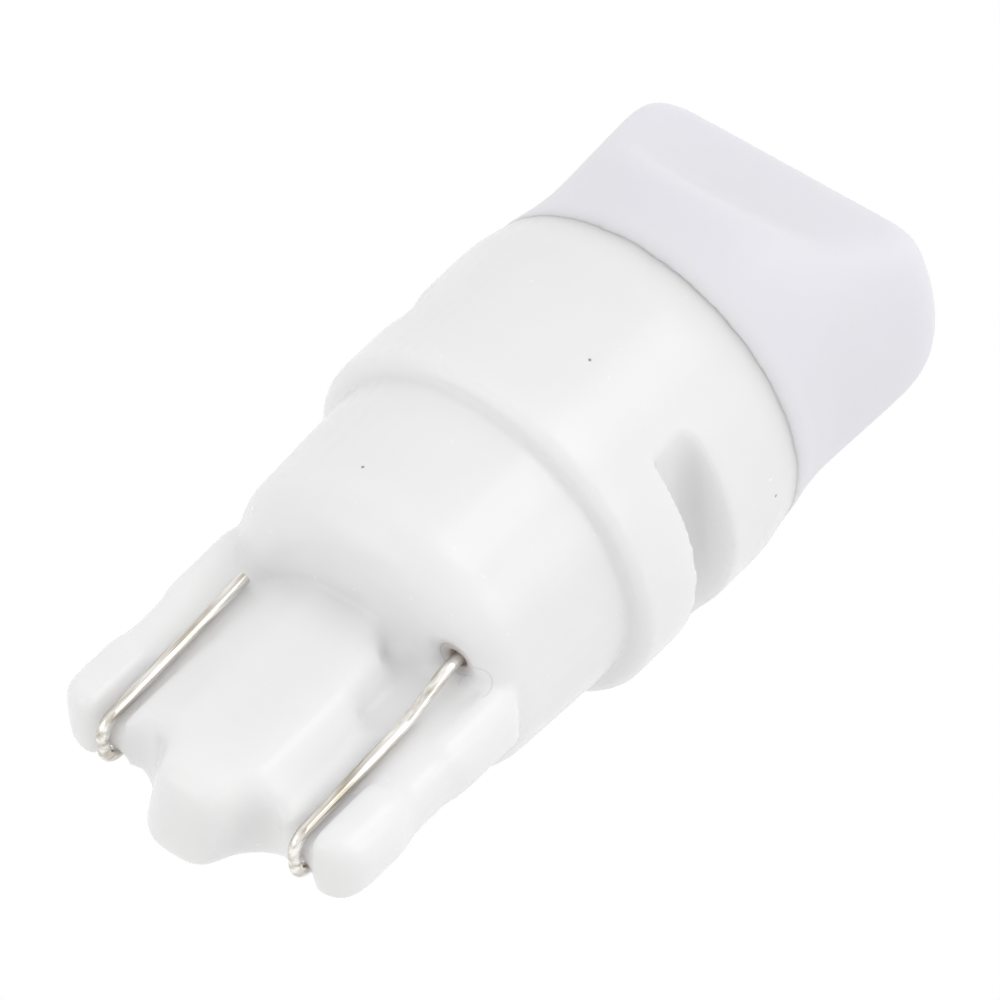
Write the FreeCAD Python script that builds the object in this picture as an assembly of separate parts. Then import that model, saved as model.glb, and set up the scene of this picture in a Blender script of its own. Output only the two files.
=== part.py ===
"""Wedge base LED bulb, modelled as the assembly that it is.

A white moulded housing carries everything: a flat wedge plug with a centre boss, a round neck that
passes through the lamp holder, and a wider head with two side slots and an open cup. A milky moulded
lens closes the cup. A round board lies on a ledge in the cup, with the light emitters above it and the
driver parts below. Two bare contact wires run from the board through the neck, come out beside the boss,
lie along the plug, wrap round its end and come back up the other face to a cut end.

The frame: millimetres, the axis is Z with the plug down and the lens up, X runs along the broad width of
the plug, and Y through its thickness. The origin is the centre of the head's underside, the flat ring
that stops against the lamp holder. The whole bulb looks the same after half a turn about Z.
"""
import FreeCAD, Part
import math
import os

# Widths: the plug has the width of the holder, and the wires, cup, neck and head follow it
plug_width = 9.5
wire_inset = 1.72
wire_spacing = plug_width - 2 * wire_inset
wire_hole_offset = 1.5
cup_margin = 0.77
cup_diameter = 2 * (math.hypot(wire_spacing / 2, wire_hole_offset) + cup_margin)
cup_wall = 1.11
head_diameter = cup_diameter + 2 * cup_wall

# Head: the wide round body above the stop face
head_edge_bevel = 0.22
rim_height = 6.35
shoulder_drop = 1.15
shoulder_height = rim_height - shoulder_drop
shoulder_radius = 3.2
rim_step = 0.22
rim_diameter = head_diameter - 2 * rim_step

# Cup and cavity inside the head
lens_spigot_length = 1.05
board_thickness = 1.0
board_seat_height = rim_height - lens_spigot_length - board_thickness
cavity_diameter = 5.6
cavity_depth = 3.4
cavity_floor = board_seat_height - cavity_depth

# Slots in the sides of the head, below the cup
slot_drop = 0.85
slot_height = 1.45
slot_bottom = board_seat_height - slot_drop - slot_height
slot_depth = 1.35
slot_corner_radius = 0.45

# Neck: the round shank below the stop face
neck_top_step = 0.04
neck_end_step = 0.26
neck_top_diameter = plug_width - 2 * neck_top_step
neck_end_diameter = plug_width - 2 * neck_end_step
neck_length = 4.85
neck_end_radius = 1.4

# Plug: the flat wedge with its side pads and centre boss
plug_thickness = 2.14
plug_end = 10.88
web_thickness = 1.76
web_step = 0.15
web_width = plug_width - 2 * web_step
web_edge_radius = 0.55
upper_pad_gap = 0.72
lower_pad_gap = 0.27
upper_pad_inner_edge = wire_spacing / 2 + upper_pad_gap
lower_pad_inner_edge = wire_spacing / 2 + lower_pad_gap
pad_round = 0.85
pad_end_bevel = 0.21
pad_top_radius = 0.6
pad_inner_radius = 0.4
pad_corner_radius = 1.05
upper_pad_corner_radius = 0.65
pad_gap_top = 6.9
pad_gap_bottom = 8.25
boss_thickness = 3.5
boss_shoulder_offset = 1.5
boss_shoulder_radius = 0.6
boss_slope_offset = 0.95
boss_slope_radius = 1.3
boss_slope_gap = 0.33
boss_root_gap = 0.68
boss_slope_root = wire_spacing / 2 - boss_slope_gap
boss_root_width = wire_spacing - 2 * boss_root_gap
boss_lean = 0.42
boss_tip = 11.82
boss_tip_width = 1.9
boss_tip_radius = 0.8
boss_end_radius = 0.7
valley_height = 10.42
valley_width = 2.9
valley_radius = 1.0

# Contact wires, and the holes, grooves and notches that hold them
wire_diameter = 0.34
wire_hole_diameter = 0.56
wire_mouth_diameter = 1.1
wire_mouth_depth = 1.6
wire_bend_radius = 0.5
wire_fold_width = 1.32
wire_end = 11.05
wire_tail_height = 5.4
wire_tail_offset = 1.1
wire_landing_height = 6.6
wire_landing_offset = 0.98
wire_clearance = 0.02
notch_width = 1.0
groove_width = 0.8
relief_width = 1.05
relief_length = 2.3
relief_top_width = 1.75
relief_top_length = 0.6
relief_floor = 0.7

# Lens: the milky cap with a scoop in its front and back
lens_step = 0.48
lens_diameter = head_diameter - 2 * lens_step
lens_flare_height = 1.75
lens_flare_radius = 2.5
lens_height = 6.35
lens_top = rim_height + lens_height
lens_top_radius = 1.0
lens_wall = 0.9
lens_spigot_clearance = 0.1
lens_spigot_wall = 0.5
scoop_start = 2.37
scoop_bend = 3.48
scoop_start_height = rim_height + scoop_start
scoop_bend_height = rim_height + scoop_bend
scoop_bend_offset = 3.5
scoop_top_offset = 2.15
scoop_bend_radius = 1.6
solder_recess_diameter = 1.6
glue_height = 0.6

# Board, with the light emitters above it and the driver parts below it
board_clearance = 0.1
board_hole_diameter = 0.5
emitter_length = 3.5
emitter_width = 2.8
emitter_height = 0.7
emitter_spacing = 3.0
window_length = 2.6
window_width = 2.0
window_depth = 0.3
rectifier_length = 2.6
rectifier_width = 1.9
rectifier_height = 1.1
rectifier_offset = 1.25
regulator_length = 2.9
regulator_width = 1.3
regulator_height = 1.0
regulator_offset = 0.6
resistor_length = 1.0
resistor_width = 0.5
resistor_height = 0.35
resistor_spacing = 1.5
resistor_offset = 1.75
solder_diameter = 1.1
solder_top_diameter = 0.55
solder_height = 0.4

HEAD_R = head_diameter / 2
NECK_TOP_R = neck_top_diameter / 2
NECK_END_R = neck_end_diameter / 2
WEB_HALF = web_thickness / 2
WIRE_R = wire_diameter / 2
WIRE_X = wire_spacing / 2
BOARD_TOP = board_seat_height + board_thickness


def vec(x, y, z):
    return FreeCAD.Vector(x, y, z)


def on_front(u, v):
    """Place a drawing point on the XZ plane, as seen from the front."""
    return vec(u, 0, v)


def on_side(u, v):
    """Place a drawing point on the YZ plane, as seen from the side."""
    return vec(0, u, v)


def on_top(u, v):
    """Place a drawing point on the XY plane, as seen from above."""
    return vec(u, v, 0)


def corner_directions(corners, i):
    """Unit directions from a corner back to the one before and ahead to the one after."""
    point = corners[i][0]
    back = (corners[i - 1][0] - point).normalize()
    ahead = (corners[(i + 1) % len(corners)][0] - point).normalize()
    return back, ahead


def fitted_radii(corners, closed):
    """The corner radii, made smaller where two neighbouring arcs would run into each other."""
    count = len(corners)
    setbacks = []
    for i, (point, radius) in enumerate(corners):
        at_end = not closed and i in (0, count - 1)
        if radius <= 0 or at_end:
            setbacks.append(0)
            continue
        back, ahead = corner_directions(corners, i)
        setbacks.append(radius / math.tan(back.getAngle(ahead) / 2))
    factors = [1] * count
    for i in range(count if closed else count - 1):
        after = (i + 1) % count
        room = 0.96 * corners[i][0].distanceToPoint(corners[after][0])
        wanted = setbacks[i] + setbacks[after]
        if wanted > room:
            factors[i] = min(factors[i], room / wanted)
            factors[after] = min(factors[after], room / wanted)
    return [radius * factor if setback else 0
            for (point, radius), factor, setback in zip(corners, factors, setbacks)]


def arc_edges(into, middle, out, spline_turn):
    """One arc, or the same arc as splines that each turn by spline_turn degrees at most.

    What is turned or swept from splines meshes with far fewer triangles than a torus.
    """
    arc = Part.Arc(into, middle, out)
    if not spline_turn:
        return [arc.toShape()]
    first = arc.FirstParameter
    turn = arc.LastParameter - first
    count = math.ceil(math.degrees(turn) / spline_turn - 0.01)
    steps = [first + turn * i / count for i in range(count + 1)]
    pieces = []
    for start, end in zip(steps, steps[1:]):
        halfway = arc.value((start + end) / 2)
        pieces.append(Part.Arc(arc.value(start), halfway, arc.value(end)).toNurbs().toShape())
    return pieces


def rounded_path(corners, closed, spline_turn=0):
    """Join the corners (point, radius) by straight lines and tangent arcs."""
    count = len(corners)
    radii = fitted_radii(corners, closed)
    ends = []
    for i, (point, wanted) in enumerate(corners):
        radius = radii[i]
        if radius == 0:
            ends.append((point, None, point))
            continue
        back, ahead = corner_directions(corners, i)
        half = back.getAngle(ahead) / 2
        setback = radius / math.tan(half)
        middle = (back + ahead).normalize()
        bulge = radius / math.sin(half) - radius
        ends.append((point + back * setback, point + middle * bulge, point + ahead * setback))
    edges = []
    for i in range(count if closed else count - 1):
        start = ends[i][2]
        end = ends[(i + 1) % count][0]
        if start.distanceToPoint(end) > 1e-6:
            edges.append(Part.LineSegment(start, end).toShape())
        into, middle, out = ends[(i + 1) % count]
        if middle is not None:
            edges += arc_edges(into, middle, out, spline_turn)
    return Part.Wire(Part.__sortEdges__(edges))


def rounded_face(points, place, spline_turn=0):
    """A face from corners (u, v, radius) drawn on the plane that place gives."""
    corners = [(place(u, v), radius) for u, v, radius in points]
    return Part.Face(rounded_path(corners, True, spline_turn))


def mirrored(points):
    """Close a half outline, drawn at positive u from bottom to top, with its mirror image."""
    return points + [(-u, v, radius) for u, v, radius in reversed(points)]


def turned(points):
    """A solid of revolution about Z from half outline corners (radius, height, rounding)."""
    face = rounded_face(points, on_front, 22.5)
    return face.revolve(vec(0, 0, 0), vec(0, 0, 1), 360)


def slab(face, direction):
    """Extrude a face by the same distance to both sides of its plane."""
    thick = face.extrude(direction * 2)
    thick.translate(direction * -1)
    return thick


def cylinder(diameter, bottom, top, x=0, y=0):
    return Part.makeCylinder(diameter / 2, top - bottom, vec(x, y, bottom))


def block(x_size, y_size, bottom, top, x=0, y=0):
    return Part.makeBox(x_size, y_size, top - bottom, vec(x - x_size / 2, y - y_size / 2, bottom))


def half_turn(shape):
    """A copy of the shape after half a turn about the axis of the bulb."""
    copy = shape.copy()
    copy.rotate(vec(0, 0, 0), vec(0, 0, 1), 180)
    return copy


def pair(shape):
    return [shape, half_turn(shape)]


def head_and_neck():
    """The round outside of the housing, turned about Z."""
    rim = rim_diameter / 2
    outline = [
        (0, -neck_length, 0),
        (NECK_END_R, -neck_length, neck_end_radius),
        (NECK_TOP_R, 0, 0),
        (HEAD_R - head_edge_bevel, 0, 0),
        (HEAD_R, head_edge_bevel, 0),
        (HEAD_R, shoulder_height, shoulder_radius),
        (rim, rim_height, 0),
        (0, rim_height, 0),
    ]
    return turned(outline)


def side_slot():
    """The pocket in the right side of the head, with a flat floor and a rounded inner ceiling."""
    floor = HEAD_R - slot_depth
    outside = HEAD_R + 1
    top = slot_bottom + slot_height
    outline = [
        (floor, slot_bottom, 0),
        (outside, slot_bottom, 0),
        (outside, top, 0),
        (floor, top, slot_corner_radius),
    ]
    return slab(rounded_face(outline, on_front), vec(0, head_diameter, 0))


def wire_fold_floor():
    """Depth of the notch floor that the wires wrap round."""
    return wire_end - wire_diameter - wire_clearance


def outline_edges(thick, above):
    """The front and back edges of a slab, apart from those that reach above the given height."""
    edges = []
    for edge in thick.Edges:
        box = edge.BoundBox
        if box.YLength < 1e-6 and box.ZMax < above:
            edges.append(edge)
    return edges


def centre_boss():
    """The crowned boss in the middle of the plug, whose rounded tip stands below the wings.

    Its crown leans to the side of the wire hole on each face, so that its shoulder there is steep and its
    other flank is a long slope.
    """
    root = boss_root_width / 2 + boss_lean
    half = [
        (boss_tip_width / 2, -boss_tip, boss_tip_radius),
        (valley_width / 2, -valley_height, valley_radius),
        (root, -valley_height, 0),
        (root, -neck_length + 1, 0),
    ]
    crown = boss_thickness / 2
    front = slab(rounded_face(mirrored(half), on_front), vec(-boss_lean, crown, 0))
    front = front.makeFillet(boss_end_radius, outline_edges(front, -neck_length))
    face = [
        (-boss_slope_root, -WEB_HALF, 0),
        (-boss_slope_offset, -crown, boss_slope_radius),
        (boss_shoulder_offset, -crown, boss_shoulder_radius),
        (boss_root_width / 2, -WEB_HALF, 0),
    ]
    around = face + [(-u, -v, radius) for u, v, radius in face]
    section = rounded_face(around, on_top).extrude(vec(0, 0, boss_tip + 1))
    section.translate(vec(0, 0, -boss_tip - 1))
    return front.common(section)


def web():
    """The thin flat part of the plug, with the notches that the wires wrap round at its end."""
    side = web_width / 2
    notch_in = WIRE_X - notch_width / 2
    notch_out = WIRE_X + notch_width / 2
    floor = -wire_fold_floor()
    half = [
        (notch_in - 0.35, -valley_height, 0.35),
        (notch_in, floor, 0.2),
        (notch_out, floor, 0.1),
        (notch_out, -plug_end + 0.1, 0.1),
        (side, -plug_end + 0.1, pad_corner_radius * 0.8),
        (side, -neck_length, 0.3),
        (NECK_END_R - 0.5, -neck_length + 1, 0),
    ]
    front = slab(rounded_face(mirrored(half), on_front), vec(0, WEB_HALF, 0))
    across = [
        (side, -WEB_HALF, web_edge_radius),
        (side, WEB_HALF, web_edge_radius),
    ]
    section = rounded_face(mirrored(across), on_top).extrude(vec(0, 0, plug_end + 1))
    section.translate(vec(0, 0, -plug_end - 1))
    return front.common(section)


def wing_pad(inner_edge, bottom, top, outer_corner):
    """One thick rounded pad on the right wing, between the given heights."""
    wing = plug_width / 2
    half = plug_thickness / 2
    outline = [
        (inner_edge, bottom, pad_inner_radius * 0.6),
        (wing, bottom, outer_corner),
        (wing, top, pad_top_radius),
        (inner_edge, top, pad_inner_radius),
    ]
    pad = slab(rounded_face(outline, on_front), vec(0, half, 0))
    pad = pad.makeChamfer(pad_end_bevel, outline_edges(pad, 0))
    across = [
        (inner_edge, -half, 0),
        (wing, -half, pad_round),
        (wing, half, pad_round),
        (inner_edge, half, 0),
    ]
    section = rounded_face(across, on_top).extrude(vec(0, 0, plug_end))
    section.translate(vec(0, 0, -plug_end))
    return pad.common(section)


def plug():
    lower = wing_pad(lower_pad_inner_edge, -plug_end, -pad_gap_bottom, pad_corner_radius)
    upper_end = 0.8 - neck_length
    upper = wing_pad(upper_pad_inner_edge, -pad_gap_top, upper_end, upper_pad_corner_radius)
    return web().fuse([centre_boss()] + pair(lower) + pair(upper))


def wire_groove():
    """The groove that lets the right wire sink into both faces of the web and round its end."""
    gap = WIRE_R + wire_clearance
    inside = wire_fold_width / 2 - gap
    tail = wire_tail_offset - gap
    outer = boss_thickness
    outline = [
        (tail, -wire_tail_height, 0),
        (outer, -wire_tail_height, 0),
        (outer, -boss_tip - 1, 0),
        (0, -boss_tip - 1, 0),
        (0, -wire_fold_floor(), 0),
        (inside, -wire_fold_floor(), wire_bend_radius - gap),
    ]
    face = rounded_face(outline, on_side)
    back = face.extrude(vec(groove_width, 0, 0))
    back.translate(vec(WIRE_X - groove_width / 2, 0, 0))
    front = back.mirror(vec(0, 0, 0), vec(0, 1, 0))
    return back.fuse(front)


def relief_pocket():
    """The round-ended recess beside the wire hole, which also parts the boss's shoulder from the neck."""
    right = WIRE_X - 0.3
    left = right - relief_width
    bottom = -neck_length - relief_length
    top = -neck_length + 0.02
    outline = [
        (left, bottom, relief_width / 2 - 0.01),
        (right, bottom, relief_width / 2 - 0.01),
        (right, top, 0),
        (right - relief_top_width, top, 0),
        (right - relief_top_width, -neck_length - relief_top_length, 0.3),
        (left, -neck_length - relief_top_length, 0.3),
    ]
    face = rounded_face(outline, on_front)
    pocket = face.extrude(vec(0, -boss_thickness, 0))
    pocket.translate(vec(0, -relief_floor, 0))
    return pocket


def wire_channel():
    """The bore for the right wire, with its wider mouth in the end of the neck."""
    x = WIRE_X
    y = -wire_hole_offset
    bore = cylinder(wire_hole_diameter, -neck_length - 1, board_seat_height, x, y)
    mouth = cylinder(wire_mouth_diameter, -neck_length - 0.6, -neck_length + wire_mouth_depth, x, y)
    return bore.fuse(mouth)


def housing():
    """The moulded housing: plug, neck and head in one piece."""
    body = head_and_neck().fuse(plug()).removeSplitter()
    cup = cylinder(cup_diameter, board_seat_height, rim_height + 1)
    cavity = cylinder(cavity_diameter, cavity_floor, rim_height)
    cutters = [cup, cavity]
    for shape in (side_slot(), wire_groove(), relief_pocket(), wire_channel()):
        cutters += pair(shape)
    return body.cut(cutters)


def lens_form(inset):
    """The outside of the lens above the rim, or the hollow inside it when inset is the wall."""
    rim = rim_diameter / 2
    bottom = rim_height
    if inset:
        rim = cup_diameter / 2 - lens_spigot_clearance - lens_spigot_wall
        bottom = BOARD_TOP - 1
    radius = lens_diameter / 2 - inset
    top = lens_top - inset
    outline = [
        (0, bottom, 0),
        (rim, bottom, 0),
        (rim, rim_height, 0),
        (radius, rim_height + lens_flare_height, 0 if inset else lens_flare_radius),
        (radius, top, 0 if inset else lens_top_radius),
        (0, top, 0),
    ]
    if not inset:
        del outline[2]
    form = turned(outline)
    for sign in (-1, 1):
        form = form.cut(lens_scoop(sign, inset))
    return form


def lens_scoop(sign, inset):
    """What is scooped out of one broad side of the lens: a short ramp and a long, steeper face."""
    foot = lens_diameter / 2 - inset
    slope = (lens_diameter / 2 - scoop_bend_offset) / (scoop_bend_height - scoop_start_height)
    beyond = 2
    outline = [
        (foot + beyond, scoop_start_height - inset * 0.5 - beyond / slope, 0),
        (scoop_bend_offset - inset, scoop_bend_height - inset * 0.5, scoop_bend_radius),
        (scoop_top_offset - inset, lens_top, 0),
        (scoop_top_offset - inset, lens_top + beyond, 0),
        (foot + beyond, lens_top + beyond, 0),
    ]
    outline = [(sign * u, v, radius) for u, v, radius in outline]
    return slab(rounded_face(outline, on_side), vec(lens_diameter, 0, 0))


def lens():
    """The hollow milky lens with the spigot that fits the cup and holds the board down."""
    spigot_diameter = cup_diameter - 2 * lens_spigot_clearance
    spigot = cylinder(spigot_diameter, BOARD_TOP, rim_height)
    recess = cylinder(solder_recess_diameter, BOARD_TOP - 1, BOARD_TOP + 0.7, WIRE_X, -wire_hole_offset)
    return lens_form(0).fuse(spigot).cut([lens_form(lens_wall)] + pair(recess)).removeSplitter()


def lens_glue():
    """The thin ring of glue between the spigot of the lens and the wall of the cup."""
    inner = cup_diameter - 2 * lens_spigot_clearance
    ring = cylinder(cup_diameter, rim_height - glue_height, rim_height)
    return ring.cut(cylinder(inner, rim_height - 1 - glue_height, rim_height + 1))


def led_board():
    """The round board on the ledge of the cup, with a hole for each wire."""
    disc = cylinder(cup_diameter - 2 * board_clearance, board_seat_height, BOARD_TOP)
    hole = cylinder(board_hole_diameter, board_seat_height - 1, BOARD_TOP + 1, WIRE_X, -wire_hole_offset)
    return disc.cut(pair(hole))


def emitter_window(bottom, top):
    """The window of an emitter, which the phosphor fills, between the given heights."""
    return block(window_length, window_width, bottom, top, 0, emitter_spacing / 2)


def emitter():
    """The white package of one light emitter, with an open window in its top."""
    top = BOARD_TOP + emitter_height
    body = block(emitter_length, emitter_width, BOARD_TOP, top, 0, emitter_spacing / 2)
    return body.cut(emitter_window(top - window_depth, top + 1))


def phosphor():
    """The yellow phosphor fill in the window of one emitter."""
    top = BOARD_TOP + emitter_height
    return emitter_window(top - window_depth, top)


def under_board(x_size, y_size, height, x, y):
    """A block that hangs from the underside of the board."""
    return block(x_size, y_size, board_seat_height - height, board_seat_height, x, y)


def contact_wire():
    """The right wire: down from the board, out beside the boss, round the end and up the back."""
    path = [
        (vec(WIRE_X, -wire_hole_offset, BOARD_TOP), 0),
        (vec(WIRE_X, -wire_hole_offset, -neck_length - 0.1), 0.8),
        (vec(WIRE_X, -wire_landing_offset, -wire_landing_height), 0.8),
        (vec(WIRE_X, -wire_fold_width / 2, -wire_end + WIRE_R), wire_bend_radius),
        (vec(WIRE_X, wire_fold_width / 2, -wire_end + WIRE_R), wire_bend_radius),
        (vec(WIRE_X, wire_tail_offset, -wire_tail_height), 0),
    ]
    spine = rounded_path(path, False, 90)
    circle = Part.makeCircle(WIRE_R, path[0][0], vec(0, 0, 1))
    return spine.makePipeShell([Part.Wire(circle)], True, True)


def solder_joint():
    """The cone of solder that covers the end of the right wire on top of the board."""
    place = vec(WIRE_X, -wire_hole_offset, BOARD_TOP)
    return Part.makeCone(solder_diameter / 2, solder_top_diameter / 2, solder_height, place)


EMITTER = emitter()
PHOSPHOR = phosphor()
SOLDER = solder_joint()
WIRE = contact_wire()

parts = {
    "housing": housing(),
    "lens": lens(),
    "lens_glue": lens_glue(),
    "led_board": led_board(),
    "emitter_back": EMITTER,
    "emitter_front": half_turn(EMITTER),
    "phosphor_back": PHOSPHOR,
    "phosphor_front": half_turn(PHOSPHOR),
    "bridge_rectifier": under_board(
        rectifier_length, rectifier_width, rectifier_height, 0, rectifier_offset),
    "current_regulator": under_board(
        regulator_length, regulator_width, regulator_height, 0, -regulator_offset),
    "resistor_left": under_board(
        resistor_length, resistor_width, resistor_height, -resistor_spacing / 2, -resistor_offset),
    "resistor_right": under_board(
        resistor_length, resistor_width, resistor_height, resistor_spacing / 2, -resistor_offset),
    "solder_right": SOLDER,
    "solder_left": half_turn(SOLDER),
    "wire_right": WIRE,
    "wire_left": half_turn(WIRE),
}

os.makedirs("parts", exist_ok=True)
for name, shape in parts.items():
    shape.exportStep("parts/" + name + ".step")
    print(name, len(shape.Solids), shape.isValid(), round(shape.Volume, 2))
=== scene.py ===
"""Dresses the wedge base LED bulb: soft moulded skins, materials, light and camera.

All sizes are in metres, in the frame of the CAD model: Z up the bulb from its plug to its lens, X along the
broad width of the plug, and the origin at the centre of the head's underside.
"""
import math

import bpy
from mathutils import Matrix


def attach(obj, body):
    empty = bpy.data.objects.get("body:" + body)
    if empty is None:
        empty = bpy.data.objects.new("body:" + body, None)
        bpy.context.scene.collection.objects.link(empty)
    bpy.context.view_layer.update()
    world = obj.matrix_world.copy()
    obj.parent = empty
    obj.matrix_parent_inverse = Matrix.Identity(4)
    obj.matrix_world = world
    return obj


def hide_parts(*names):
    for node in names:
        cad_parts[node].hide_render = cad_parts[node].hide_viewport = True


bl_info = {
    "name": "Wedge base LED bulb",
    "version": (1, 0, 0),
    "blender": (4, 5, 0),
    "location": "View3D > Sidebar > Bulb",
    "description": "Dresses the CAD model of a small wedge base LED bulb",
    "category": "Object",
}

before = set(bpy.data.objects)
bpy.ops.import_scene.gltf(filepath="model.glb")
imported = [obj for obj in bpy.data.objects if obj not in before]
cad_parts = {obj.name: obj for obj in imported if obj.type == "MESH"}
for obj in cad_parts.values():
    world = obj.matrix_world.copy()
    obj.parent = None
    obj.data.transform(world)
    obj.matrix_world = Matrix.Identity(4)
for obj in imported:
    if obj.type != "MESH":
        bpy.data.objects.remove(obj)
bpy.ops.object.select_all(action="DESELECT")

MM = 0.001
# points of a CAD mesh that lie closer than this are merged, and the share of a smoothing step that is taken
MERGE_GAP = 0.001 * MM
RELAX_FACTOR = 0.5
# lengths over which the further softening of the plug and of the lens sets in
PLUG_RAMP = 0.9 * MM
LENS_RAMP = 1.0 * MM
# the lens's foot: its height on the rim, a radius between its spigot and its outer wall, and how far it sinks
LENS_FOOT = 6.35 * MM
LENS_FOOT_RADIUS = 4.35 * MM
FOOT_SINK = 0.2 * MM
# how far the lens's wall is widened towards its foot, as a share of its radius, and over which height
FLARE_HEIGHT = 1.0 * MM
FLARE_SPREAD = 0.010
# the lens's top: between which heights it is drawn out, and by how much upwards and as shares of X and Y
TOP_START = 7.2 * MM
TOP_FULL = 12.0 * MM
TOP_RAISE = 0.08 * MM
TOP_SPREAD = (0.036, 0.06)
# the dimple where the boss's shoulder meets the neck, in millimetres, and how far it is filled
BOSS_ROOT = (1.4, -0.9, -4.75)
DIMPLE_RADIUS = 0.45 * MM
DIMPLE_FILL = 0.2 * MM
# place in millimetres of the boss's shoulder beside the right wire hole, and how far its softening reaches
BOSS_SHOULDER = (1.9, -1.3, -5.2)
SHOULDER_SOFT = 1.0 * MM
SHOULDER_EDGE = 1.9 * MM
# the right wire hole: its place, the level and radii of its filled mouth, and the mouth's depth in the CAD
HOLE_PLACE = (2.96 * MM, -1.47 * MM)
MOUTH_LEVEL = -4.62 * MM
MOUTH_RADIUS = 0.62 * MM
MOUTH_EDGE = 0.85 * MM
MOUTH_DEPTH = 1.45 * MM
MOUTH_SHARE = 0.04
# heights between which the bore above the mouth is stretched
BORE_FROM = -2.6 * MM
BORE_TO = -1.0 * MM
# marks on the housing, in millimetres: the brown flux in the wire holes, which also paints the shade of their
# dark mouths, and the dark specks with their places, radius and soft edge, and the ejector pin's print with
# its place, radius, line width and lower end
HOLE_FLUX_AND_SHADE = ((3.0, -1.5, -4.5), (-3.0, 1.5, -4.5))
FLUX_AND_SHADE_SIZE = (0.20, 0.40)
FLUX_AND_SHADE_STRENGTH = 0.6
PIN_PRINT = (3.63, -1.18, -4.69)
PRINT_SIZE = (0.45, 0.035, -4.86)
PRINT_STRENGTH = 0.16
SPECKS = ((5.24, -0.14, 5.13), (-0.97, -4.47, -3.06), (1.6, -5.0, 2.6))
SPECK_SIZE = (0.01, 0.05)
# name, place, side length and power in watts of each lamp
SOFTBOXES = (
    ("key_softbox", (0.216, -0.359, 0.164), 0.22, 0.24),
    ("right_softbox", (0.400, -0.171, 0.112), 0.22, 0.18),
    ("left_softbox", (-0.182, -0.204, -0.357), 0.36, 0.27),
)
# side length of the floor, and the width of the camera's sensor in millimetres
FLOOR_SIZE = 6.0
SENSOR_WIDTH = 36.0


def linear(code):
    """Linear RGBA of an sRGB hex code such as F0EFEC."""
    channels = [int(code[i:i + 2], 16) / 255 for i in (0, 2, 4)]
    lit = [c / 12.92 if c <= 0.04045 else ((c + 0.055) / 1.055) ** 2.4 for c in channels]
    return (*lit, 1.0)


def grain(size_mm):
    """Scale of a noise texture whose blobs are about size_mm across, read in metres."""
    return 1 / (size_mm * MM)


# Settings that a user would change


class HousingSettings(bpy.types.PropertyGroup):
    voxel: bpy.props.FloatProperty(
        name="Skin grid", description="Spacing of the even grid that the moulded skin is drawn on",
        default=0.105 * MM, unit="LENGTH")
    softening: bpy.props.IntProperty(
        name="Softening", description="Rounds of smoothing, which give moulded edges their small radii",
        default=7, min=0)
    plug_softening: bpy.props.IntProperty(
        name="Plug softening", description="More rounds on the plug, whose edges are rounder than the head's",
        default=38, min=0)
    boss_softening: bpy.props.IntProperty(
        name="Boss softening", description="More rounds where the boss's shoulder meets the neck",
        default=120, min=0)
    plug_start: bpy.props.FloatProperty(
        name="Plug start", description="Height below which the plug's softening sets in",
        default=-4.5 * MM, unit="LENGTH")
    plastic: bpy.props.FloatVectorProperty(
        name="Plastic", description="Colour of the moulded housing",
        default=linear("F6F6F8"), size=4, subtype="COLOR")
    # this colour also paints the shade in the mouths of the wire holes, besides their flux, the specks and
    # the pin's print
    stain: bpy.props.FloatVectorProperty(
        name="Stain", description="Colour of the brown stain in the wire holes and of the small specks",
        default=linear("8A6A4A"), size=4, subtype="COLOR")


class LensSettings(bpy.types.PropertyGroup):
    voxel: bpy.props.FloatProperty(
        name="Skin grid", description="Spacing of the even grid that the lens is drawn on",
        default=0.11 * MM, unit="LENGTH")
    softening: bpy.props.IntProperty(
        name="Softening", description="Rounds of smoothing along the edges of the lens",
        default=5, min=0)
    top_softening: bpy.props.IntProperty(
        name="Top softening",
        description="More rounds above the lens's foot, where its corners are widely rounded",
        default=90, min=0)
    top_start: bpy.props.FloatProperty(
        name="Top start", description="Height above which the wide rounding of the lens sets in",
        default=7.0 * MM, unit="LENGTH")
    plastic: bpy.props.FloatVectorProperty(
        name="Plastic", description="Colour of the milky lens",
        default=linear("E9E8EF"), size=4, subtype="COLOR")


class WireSettings(bpy.types.PropertyGroup):
    bright: bpy.props.FloatVectorProperty(
        name="Bright metal", description="Colour of the clean tinned wire",
        default=linear("F3F1ED"), size=4, subtype="COLOR")
    # this colour is partly dull tinning and partly painted reflection: the dark reflections along the wire
    dull: bpy.props.FloatVectorProperty(
        name="Dull metal", description="Colour of the wire where its tinning is dull",
        default=linear("B2AA9C"), size=4, subtype="COLOR")


class InsideSettings(bpy.types.PropertyGroup):
    board: bpy.props.FloatVectorProperty(
        name="Board", description="Colour of the board's white mask",
        default=linear("E9EAE6"), size=4, subtype="COLOR")
    phosphor: bpy.props.FloatVectorProperty(
        name="Phosphor", description="Colour of the phosphor in the emitters",
        default=linear("E8C33A"), size=4, subtype="COLOR")
    chip: bpy.props.FloatVectorProperty(
        name="Chips", description="Colour of the driver parts' cases",
        default=linear("1C1C1E"), size=4, subtype="COLOR")


class StageSettings(bpy.types.PropertyGroup):
    camera_place: bpy.props.FloatVectorProperty(
        name="Camera place", description="Where the camera stands",
        default=(0.11155, -0.19113, -0.12446), size=3, subtype="TRANSLATION", unit="LENGTH")
    camera_turn: bpy.props.FloatVectorProperty(
        name="Camera turn", description="Turn of the camera, rolled so that the bulb lies across the picture",
        default=(math.radians(129.256), math.radians(-38.81), math.radians(3.201)), size=3, subtype="EULER")
    focal_length: bpy.props.FloatProperty(
        name="Focal length", description="Focal length of the lens in millimetres",
        default=369.9, min=1)
    world_light: bpy.props.FloatProperty(
        name="World light", description="Strength of the even white light from all round",
        default=0.8, min=0)
    floor_drop: bpy.props.FloatProperty(
        name="Floor", description="How far the floor lies below the bulb, which is held by its plug",
        default=0.5, unit="LENGTH")


# Materials


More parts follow.
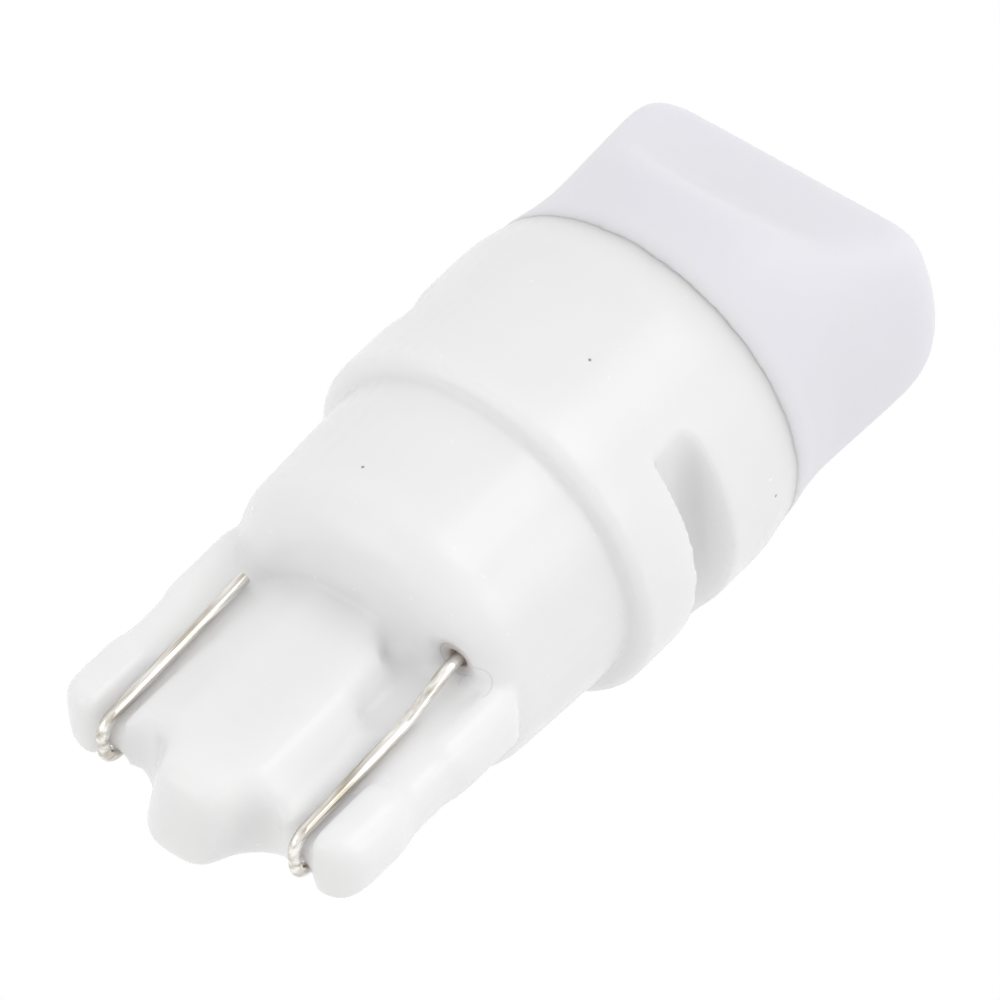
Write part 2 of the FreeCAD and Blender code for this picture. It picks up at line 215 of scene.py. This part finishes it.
def add_node(material, kind, settings=None, inputs=None):
    """Add a node with its settings; an input takes a value, or an output socket that it is linked to."""
    tree = material.node_tree
    node = tree.nodes.new(kind)
    for name, value in (settings or {}).items():
        setattr(node, name, value)
    for name, value in (inputs or {}).items():
        if isinstance(value, bpy.types.NodeSocket):
            tree.links.new(value, node.inputs[name])
        else:
            node.inputs[name].default_value = value
    return node


def new_material(name):
    """An empty node material and its Object coordinates."""
    material = bpy.data.materials.new(name)
    material.use_nodes = True
    material.node_tree.nodes.clear()
    place = add_node(material, "ShaderNodeTexCoord").outputs["Object"]
    return material, place


def finish_material(material, **inputs):
    """Close a material with a Principled shader that has the given inputs."""
    shader = add_node(material, "ShaderNodeBsdfPrincipled", inputs={
        name.replace("_", " "): value for name, value in inputs.items()})
    add_node(material, "ShaderNodeOutputMaterial", inputs={"Surface": shader.outputs["BSDF"]})
    return material


def blend_colors(material, factor, first, second):
    """The colour output of a mix from first to second."""
    mix = add_node(material, "ShaderNodeMix", {"data_type": "RGBA"}, {0: factor, 6: first, 7: second})
    return mix.outputs[2]


def dress(obj, material):
    """Give an object one material in all its slots."""
    if not obj.data.materials:
        obj.data.materials.append(material)
    for i in range(len(obj.data.materials)):
        obj.data.materials[i] = material


def spot(material, place, centre_mm, radius_mm, soft_mm):
    """One inside a round spot about a point, falling to zero over its soft edge."""
    centre = tuple(c * MM for c in centre_mm)
    away = add_node(material, "ShaderNodeVectorMath", {"operation": "DISTANCE"}, {0: place, 1: centre})
    fade = add_node(material, "ShaderNodeMapRange", {"interpolation_type": "SMOOTHSTEP"}, {
        "Value": away.outputs["Value"], "From Min": radius_mm * MM, "From Max": (radius_mm + soft_mm) * MM,
        "To Min": 1.0, "To Max": 0.0})
    return fade.outputs["Result"]


def stronger(material, first, second):
    """The larger of two values at each place."""
    larger = add_node(material, "ShaderNodeMath", {"operation": "MAXIMUM"}, {0: first, 1: second})
    return larger.outputs["Value"]


def spots(material, place, centres_mm, radius_mm, soft_mm):
    """One inside any of several round spots of one size."""
    marks = spot(material, place, centres_mm[0], radius_mm, soft_mm)
    for centre_mm in centres_mm[1:]:
        marks = stronger(material, marks, spot(material, place, centre_mm, radius_mm, soft_mm))
    return marks


def ring_line(material, place, centre_mm, radius_mm, width_mm, below_mm):
    """One on a thin circle about a point, on the side that lies above a height."""
    centre = tuple(c * MM for c in centre_mm)
    away = add_node(material, "ShaderNodeVectorMath", {"operation": "DISTANCE"}, {0: place, 1: centre})
    off = add_node(material, "ShaderNodeMath", {"operation": "SUBTRACT"}, {
        0: away.outputs["Value"], 1: radius_mm * MM})
    gap = add_node(material, "ShaderNodeMath", {"operation": "ABSOLUTE"}, {0: off.outputs["Value"]})
    line = add_node(material, "ShaderNodeMapRange", {"interpolation_type": "SMOOTHSTEP"}, {
        "Value": gap.outputs["Value"], "From Min": 0.0, "From Max": width_mm * MM,
        "To Min": 1.0, "To Max": 0.0})
    parts = add_node(material, "ShaderNodeSeparateXYZ", inputs={"Vector": place})
    side = add_node(material, "ShaderNodeMath", {"operation": "GREATER_THAN"}, {
        0: parts.outputs["Z"], 1: below_mm * MM})
    return add_node(material, "ShaderNodeMath", {"operation": "MULTIPLY"}, {
        0: line.outputs["Result"], 1: side.outputs["Value"]}).outputs["Value"]


def moulded_white_plastic(color, stain):
    """Moulded heat-resistant plastic: white and glossy, a little uneven like all thick mouldings."""
    material, place = new_material("moulded_white_plastic")
    # slow sink marks of a thick moulding bend the reflections
    sink = add_node(material, "ShaderNodeTexNoise", inputs={
        "Vector": place, "Scale": grain(3.2), "Detail": 2.0, "Roughness": 0.45})
    # the fine skin of the tool
    skin = add_node(material, "ShaderNodeTexNoise", inputs={
        "Vector": place, "Scale": grain(0.35), "Detail": 3.0, "Roughness": 0.5})
    wave = add_node(material, "ShaderNodeBump", inputs={
        "Strength": 0.5, "Distance": 0.09 * MM, "Height": sink.outputs["Fac"]})
    bump = add_node(material, "ShaderNodeBump", inputs={
        "Strength": 0.25, "Distance": 0.006 * MM, "Height": skin.outputs["Fac"],
        "Normal": wave.outputs["Normal"]})
    shade = add_node(material, "ShaderNodeMapRange", inputs={
        "Value": sink.outputs["Fac"], "From Min": 0.3, "From Max": 0.7, "To Min": 0.0, "To Max": 1.0})
    faded = tuple(c * f for c, f in zip(color, (0.98, 0.98, 0.975, 1.0)))
    base = blend_colors(material, shade.outputs["Result"], color, faded)
    # brown flux left in the mouths of the two wire holes, partly painted shade that darkens the filled mouths
    # like open holes, and three dark specks as small as a grain of sand
    flux_and_shade = spots(material, place, HOLE_FLUX_AND_SHADE, *FLUX_AND_SHADE_SIZE)
    thinned = add_node(material, "ShaderNodeMath", {"operation": "MULTIPLY"}, {
        0: flux_and_shade, 1: FLUX_AND_SHADE_STRENGTH})
    specks = spots(material, place, SPECKS, *SPECK_SIZE)
    # faint edge of an ejector pin's print beside the right hole
    print_edge = ring_line(material, place, PIN_PRINT, *PRINT_SIZE)
    faint = add_node(material, "ShaderNodeMath", {"operation": "MULTIPLY"}, {
        0: print_edge, 1: PRINT_STRENGTH})
    marks = stronger(material, thinned.outputs["Value"], stronger(material, specks, faint.outputs["Value"]))
    marked = blend_colors(material, marks, base, stain)
    rough = add_node(material, "ShaderNodeMapRange", inputs={
        "Value": skin.outputs["Fac"], "To Min": 0.2, "To Max": 0.3})
    return finish_material(
        material, Base_Color=marked, Roughness=rough.outputs["Result"], Normal=bump.outputs["Normal"],
        IOR=1.52, Subsurface_Weight=1.0, Subsurface_Scale=1.0 * MM, Subsurface_Radius=(1.0, 1.0, 1.0))


def milky_lens_plastic(color):
    """Diffusing polycarbonate: milky and slightly blue, with a satin skin."""
    material, place = new_material("milky_lens_plastic")
    flow = add_node(material, "ShaderNodeTexNoise", inputs={
        "Vector": place, "Scale": grain(4.5), "Detail": 2.0, "Roughness": 0.4})
    skin = add_node(material, "ShaderNodeTexNoise", inputs={
        "Vector": place, "Scale": grain(0.3), "Detail": 3.0})
    wave = add_node(material, "ShaderNodeBump", inputs={
        "Strength": 0.25, "Distance": 0.07 * MM, "Height": flow.outputs["Fac"]})
    bump = add_node(material, "ShaderNodeBump", inputs={
        "Strength": 0.2, "Distance": 0.004 * MM, "Height": skin.outputs["Fac"],
        "Normal": wave.outputs["Normal"]})
    pale = tuple(min(c * 1.04, 1.0) for c in color)
    base = blend_colors(material, flow.outputs["Fac"], color, pale)
    return finish_material(
        material, Base_Color=base, Roughness=0.36, Normal=bump.outputs["Normal"], IOR=1.58,
        Subsurface_Weight=0.8, Subsurface_Scale=0.9 * MM, Subsurface_Radius=(0.9, 0.9, 1.0))


def tinned_wire(bright, dull):
    """Tinned copper wire: drawn, so its dull and bright streaks run along it; the dull streaks also paint the
    dark reflections along the wire.
    """
    material, place = new_material("tinned_wire")
    drawn = add_node(material, "ShaderNodeMapping", inputs={"Vector": place, "Scale": (1.0, 1.0, 0.08)})
    streak = add_node(material, "ShaderNodeTexNoise", inputs={
        "Vector": drawn.outputs["Vector"], "Scale": grain(0.2), "Detail": 2.0, "Roughness": 0.5})
    edge = add_node(material, "ShaderNodeMapRange", inputs={
        "Value": streak.outputs["Fac"], "From Min": 0.35, "From Max": 0.7})
    # painted reflection: the dull streaks also stand in for the dark reflections along the wire
    base = blend_colors(material, edge.outputs["Result"], bright, dull)
    rough = add_node(material, "ShaderNodeMapRange", inputs={
        "Value": streak.outputs["Fac"], "To Min": 0.1, "To Max": 0.24})
    bump = add_node(material, "ShaderNodeBump", inputs={
        "Strength": 0.2, "Distance": 0.008 * MM, "Height": streak.outputs["Fac"]})
    return finish_material(
        material, Base_Color=base, Metallic=1.0, Roughness=rough.outputs["Result"],
        Normal=bump.outputs["Normal"])


def speckled(name, color, second, size_mm, roughness, **shader):
    """A dull moulded or printed finish with fine mottling between two close colours."""
    material, place = new_material(name)
    mottle = add_node(material, "ShaderNodeTexNoise", inputs={
        "Vector": place, "Scale": grain(size_mm), "Detail": 4.0, "Roughness": 0.6})
    base = blend_colors(material, mottle.outputs["Fac"], color, second)
    bump = add_node(material, "ShaderNodeBump", inputs={
        "Strength": 0.3, "Distance": 0.01 * MM, "Height": mottle.outputs["Fac"]})
    return finish_material(
        material, Base_Color=base, Roughness=roughness, Normal=bump.outputs["Normal"], **shader)


def seen_directly(owner):
    """One for what the camera sees itself, in a mirror or through glass, and zero for the light on things."""
    path = add_node(owner, "ShaderNodeLightPath")
    mirrored = add_node(owner, "ShaderNodeMath", {"operation": "MAXIMUM"}, {
        0: path.outputs["Is Camera Ray"], 1: path.outputs["Is Glossy Ray"]})
    seen = add_node(owner, "ShaderNodeMath", {"operation": "MAXIMUM"}, {
        0: mirrored.outputs["Value"], 1: path.outputs["Is Transmission Ray"]})
    return seen.outputs["Value"]


def white_paper():
    """Matte white paper of the floor, with faint fibres; it looks white and keeps the bulb's shadow."""
    material, place = new_material("white_paper")
    fibres = add_node(material, "ShaderNodeTexNoise", inputs={
        "Vector": place, "Scale": grain(2.5), "Detail": 4.0, "Roughness": 0.6})
    tone = blend_colors(material, fibres.outputs["Fac"], linear("F0F0EF"), linear("EBEBEA"))
    lift = add_node(material, "ShaderNodeMapRange", inputs={
        "Value": seen_directly(material), "To Min": 0.0, "To Max": 0.35})
    return finish_material(
        material, Base_Color=tone, Roughness=0.9, Emission_Color=(1.0, 1.0, 1.0, 1.0),
        Emission_Strength=lift.outputs["Result"])


# Pieces


def softened_copy(node, name, voxel, rounds):
    """A copy of a CAD node redrawn on an even grid and relaxed, so that its edges get small radii."""
    bpy.ops.object.select_all(action="DESELECT")
    node.select_set(True)
    bpy.context.view_layer.objects.active = node
    bpy.ops.object.duplicate()
    piece = bpy.context.view_layer.objects.active
    piece.name = name
    piece.parent = None
    for key in list(piece.keys()):
        del piece[key]
    bpy.ops.object.mode_set(mode="EDIT")
    bpy.ops.mesh.select_all(action="SELECT")
    bpy.ops.mesh.remove_doubles(threshold=MERGE_GAP)
    bpy.ops.object.mode_set(mode="OBJECT")
    grid = piece.modifiers.new("even_grid", "REMESH")
    grid.mode = "VOXEL"
    grid.voxel_size = voxel
    bpy.ops.object.modifier_apply(modifier=grid.name)
    relax = piece.modifiers.new("relaxed_edges", "SMOOTH")
    relax.factor = RELAX_FACTOR
    relax.iterations = rounds
    bpy.ops.object.modifier_apply(modifier=relax.name)
    bpy.ops.object.shade_smooth()
    bpy.ops.object.select_all(action="DESELECT")
    return piece


def ramp(value, start, full):
    """Zero at start and before it, one at full and after it, and straight between them."""
    return min(max((value - start) / (full - start), 0.0), 1.0)


def soften_where(piece, share, rounds):
    """Relax a skin further by a share from 0 to 1, which is worked out from each vertex's place."""
    bpy.context.view_layer.objects.active = piece
    group = piece.vertex_groups.new(name="softer")
    for vertex in piece.data.vertices:
        weight = share(vertex.co)
        if weight > 0:
            group.add([vertex.index], weight, "REPLACE")
    relax = piece.modifiers.new("softer_edges", "SMOOTH")
    relax.factor = RELAX_FACTOR
    relax.iterations = rounds
    relax.vertex_group = group.name
    bpy.ops.object.modifier_apply(modifier=relax.name)
    piece.vertex_groups.clear()


def reshape(piece, fitted):
    """Move each vertex of a skin to the place that a formula gives for it."""
    for vertex in piece.data.vertices:
        vertex.co = fitted(vertex.co)
    piece.data.update()


def beside_boss(place):
    """One at the root of the boss's steep shoulder, near each wire hole, fading to zero around it."""
    turned = -1 if place.x < 0 else 1
    away = math.dist((place.x * turned, place.y * turned, place.z), [c * MM for c in BOSS_SHOULDER])
    return ramp(away, SHOULDER_EDGE, SHOULDER_SOFT)


def fitted_lens(place):
    """Where a point of the lens comes to lie.

    The foot of the outer wall is widened a little and sunk into the rim, so that the joint has no groove, and
    the top is drawn out by as much as the softening has eaten away.
    """
    x, y, z = place
    top = ramp(z, TOP_START, TOP_FULL)
    wide = deep = 0.0
    if math.hypot(x, y) > LENS_FOOT_RADIUS:
        wide = FLARE_SPREAD * (1 - ramp(z, LENS_FOOT, LENS_FOOT + FLARE_HEIGHT)) ** 2
        deep = FOOT_SINK * (1 - ramp(z, LENS_FOOT, LENS_FOOT + 2 * FOOT_SINK))
    return (x * (1 + wide + TOP_SPREAD[0] * top), y * (1 + wide + TOP_SPREAD[1] * top),
            z - deep + TOP_RAISE * top)


def fitted_housing(place):
    """Where a point of the housing comes to lie.

    The wide mouth of each wire hole is filled to just below the neck's end, so that only the narrow hole
    shows, and the dimple at the boss's root is made shallower.
    """
    x, y, z = place
    turned = -1 if x < 0 else 1
    across = math.dist((x * turned, y * turned), HOLE_PLACE)
    depth = z - MOUTH_LEVEL
    if depth > 0:
        shallow = MOUTH_SHARE * min(depth, MOUTH_DEPTH) + max(depth - MOUTH_DEPTH, 0)
        inside = 1 - ramp(across, MOUTH_RADIUS, MOUTH_EDGE)
        z += (shallow - depth) * inside * (1 - ramp(z, BORE_FROM, BORE_TO))
    away = math.dist((x * turned, y * turned, z), [c * MM for c in BOSS_ROOT])
    share = math.exp(-(away / DIMPLE_RADIUS) ** 2)
    return x, y - turned * DIMPLE_FILL * share, z - DIMPLE_FILL * share


class BULB_OT_housing(bpy.types.Operator):
    """Dress the housing in a skin with softly rounded moulded edges"""
    bl_idname = "bulb.housing"
    bl_label = "Housing"

    def execute(self, context):
        settings = context.scene.bulb_housing
        skin = softened_copy(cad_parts["housing"], "housing_skin", settings.voxel, settings.softening)
        start = settings.plug_start
        soften_where(skin, lambda place: ramp(place.z, start, start - PLUG_RAMP), settings.plug_softening)
        soften_where(skin, beside_boss, settings.boss_softening)
        reshape(skin, fitted_housing)
        dress(skin, moulded_white_plastic(tuple(settings.plastic), tuple(settings.stain)))
        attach(skin, "root")
        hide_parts("housing")
        return {"FINISHED"}


class BULB_OT_lens(bpy.types.Operator):
    """Dress the lens in milky plastic with soft edges"""
    bl_idname = "bulb.lens"
    bl_label = "Lens"

    def execute(self, context):
        settings = context.scene.bulb_lens
        skin = softened_copy(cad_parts["lens"], "lens_skin", settings.voxel, settings.softening)
        start = settings.top_start
        soften_where(skin, lambda place: ramp(place.z, start, start + LENS_RAMP), settings.top_softening)
        reshape(skin, fitted_lens)
        dress(skin, milky_lens_plastic(tuple(settings.plastic)))
        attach(skin, "root")
        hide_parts("lens")
        return {"FINISHED"}


class BULB_OT_wires(bpy.types.Operator):
    """Give the contact wires their tinned finish"""
    bl_idname = "bulb.wires"
    bl_label = "Contact wires"

    def execute(self, context):
        settings = context.scene.bulb_wires
        metal = tinned_wire(tuple(settings.bright), tuple(settings.dull))
        for name in ("wire_right", "wire_left"):
            dress(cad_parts[name], metal)
        return {"FINISHED"}


class BULB_OT_inside(bpy.types.Operator):
    """Give the pieces inside the head their finishes"""
    bl_idname = "bulb.inside"
    bl_label = "Inner pieces"

    def execute(self, context):
        settings = context.scene.bulb_inside
        board = tuple(settings.board)
        chip = tuple(settings.chip)
        phosphor = tuple(settings.phosphor)
        finishes = {
            # glass-filled laminate under a white mask: flat and a little grainy
            speckled("white_mask_laminate", board, linear("DDDED8"), 0.5, 0.45): ["led_board"],
            # heat-resistant moulding of the emitters: chalky white
            speckled("emitter_moulding", linear("F2F1E8"), linear("E6E5DA"), 0.3, 0.55): [
                "emitter_back", "emitter_front"],
            # phosphor powder cast in silicone: yellow with fine grains
            speckled("phosphor_silicone", phosphor, linear("D9AE22"), 0.08, 0.25): [
                "phosphor_back", "phosphor_front"],
            # moulded epoxy of the driver parts: near black, slightly pitted
            speckled("moulded_epoxy", chip, linear("2A2A2C"), 0.15, 0.6): [
                "bridge_rectifier", "current_regulator"],
            # glazed thick film on ceramic
            speckled("resistor_glaze", linear("17181C"), linear("24262B"), 0.2, 0.35): [
                "resistor_left", "resistor_right"],
            # set solder: bright metal with a frosted grain
            speckled("bright_solder", linear("C9C8C4"), linear("AFAEA9"), 0.1, 0.28, Metallic=1.0): [
                "solder_right", "solder_left"],
            # clear silicone glue, squeezed thin
            speckled("silicone_glue", linear("E9E8E2"), linear("DCDBD4"), 0.6, 0.2): ["lens_glue"],
        }
        for material, names in finishes.items():
            for name in names:
                dress(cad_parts[name], material)
        return {"FINISHED"}


class BULB_OT_stage(bpy.types.Operator):
    """Set up the floor, the light and the camera"""
    bl_idname = "bulb.stage"
    bl_label = "Stage"

    def execute(self, context):
        settings = context.scene.bulb_stage
        scene = context.scene
        scene.view_settings.view_transform = "Standard"

        world = bpy.data.worlds.new("white_room")
        scene.world = world
        world.use_nodes = True
        world.node_tree.nodes.clear()
        level = add_node(world, "ShaderNodeMapRange", inputs={
            "Value": seen_directly(world), "To Min": settings.world_light, "To Max": 1.0})
        light = add_node(world, "ShaderNodeBackground", inputs={
            "Color": (1.0, 1.0, 1.0, 1.0), "Strength": level.outputs["Result"]})
        add_node(world, "ShaderNodeOutputWorld", inputs={"Surface": light.outputs["Background"]})

        bpy.ops.mesh.primitive_plane_add(size=FLOOR_SIZE, location=(0, 0, -settings.floor_drop))
        floor = context.view_layer.objects.active
        floor.name = "floor"
        bpy.ops.object.transform_apply(location=True)
        dress(floor, white_paper())

        for name, place, size, power in SOFTBOXES:
            add_softbox(name, place, size, power)

        camera_data = bpy.data.cameras.new("camera")
        camera_data.sensor_width = SENSOR_WIDTH
        camera_data.lens = settings.focal_length
        camera_data.clip_start = 0.01
        camera_data.clip_end = 20.0
        camera = bpy.data.objects.new("camera", camera_data)
        scene.collection.objects.link(camera)
        camera.location = settings.camera_place
        camera.rotation_euler = settings.camera_turn
        scene.camera = camera
        return {"FINISHED"}


def add_softbox(name, place, size, power):
    """A square area lamp that faces the bulb."""
    bpy.ops.object.light_add(type="AREA", location=place)
    lamp = bpy.context.view_layer.objects.active
    lamp.name = name
    lamp.data.shape = "SQUARE"
    lamp.data.size = size
    lamp.data.energy = power
    lamp.rotation_mode = "QUATERNION"
    lamp.rotation_quaternion = (-lamp.location).to_track_quat("-Z", "Y")


class BULB_PT_panel(bpy.types.Panel):
    """Lists the steps that dress the bulb"""
    bl_label = "LED bulb"
    bl_idname = "BULB_PT_panel"
    bl_space_type = "VIEW_3D"
    bl_region_type = "UI"
    bl_category = "Bulb"

    def draw(self, context):
        for operator in OPERATORS:
            self.layout.operator(operator.bl_idname)


SETTINGS = {
    "bulb_housing": HousingSettings,
    "bulb_lens": LensSettings,
    "bulb_wires": WireSettings,
    "bulb_inside": InsideSettings,
    "bulb_stage": StageSettings,
}
OPERATORS = (BULB_OT_housing, BULB_OT_lens, BULB_OT_wires, BULB_OT_inside, BULB_OT_stage)


def register():
    for name, group in SETTINGS.items():
        bpy.utils.register_class(group)
        setattr(bpy.types.Scene, name, bpy.props.PointerProperty(type=group))
    for operator in OPERATORS:
        bpy.utils.register_class(operator)
    bpy.utils.register_class(BULB_PT_panel)


def unregister():
    bpy.utils.unregister_class(BULB_PT_panel)
    for operator in OPERATORS:
        bpy.utils.unregister_class(operator)
    for name, group in SETTINGS.items():
        delattr(bpy.types.Scene, name)
        bpy.utils.unregister_class(group)


def main():
    register()
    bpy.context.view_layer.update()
    bpy.ops.bulb.housing()
    bpy.ops.bulb.lens()
    bpy.ops.bulb.wires()
    bpy.ops.bulb.inside()
    bpy.ops.bulb.stage()


if __name__ == "__main__":
    main()
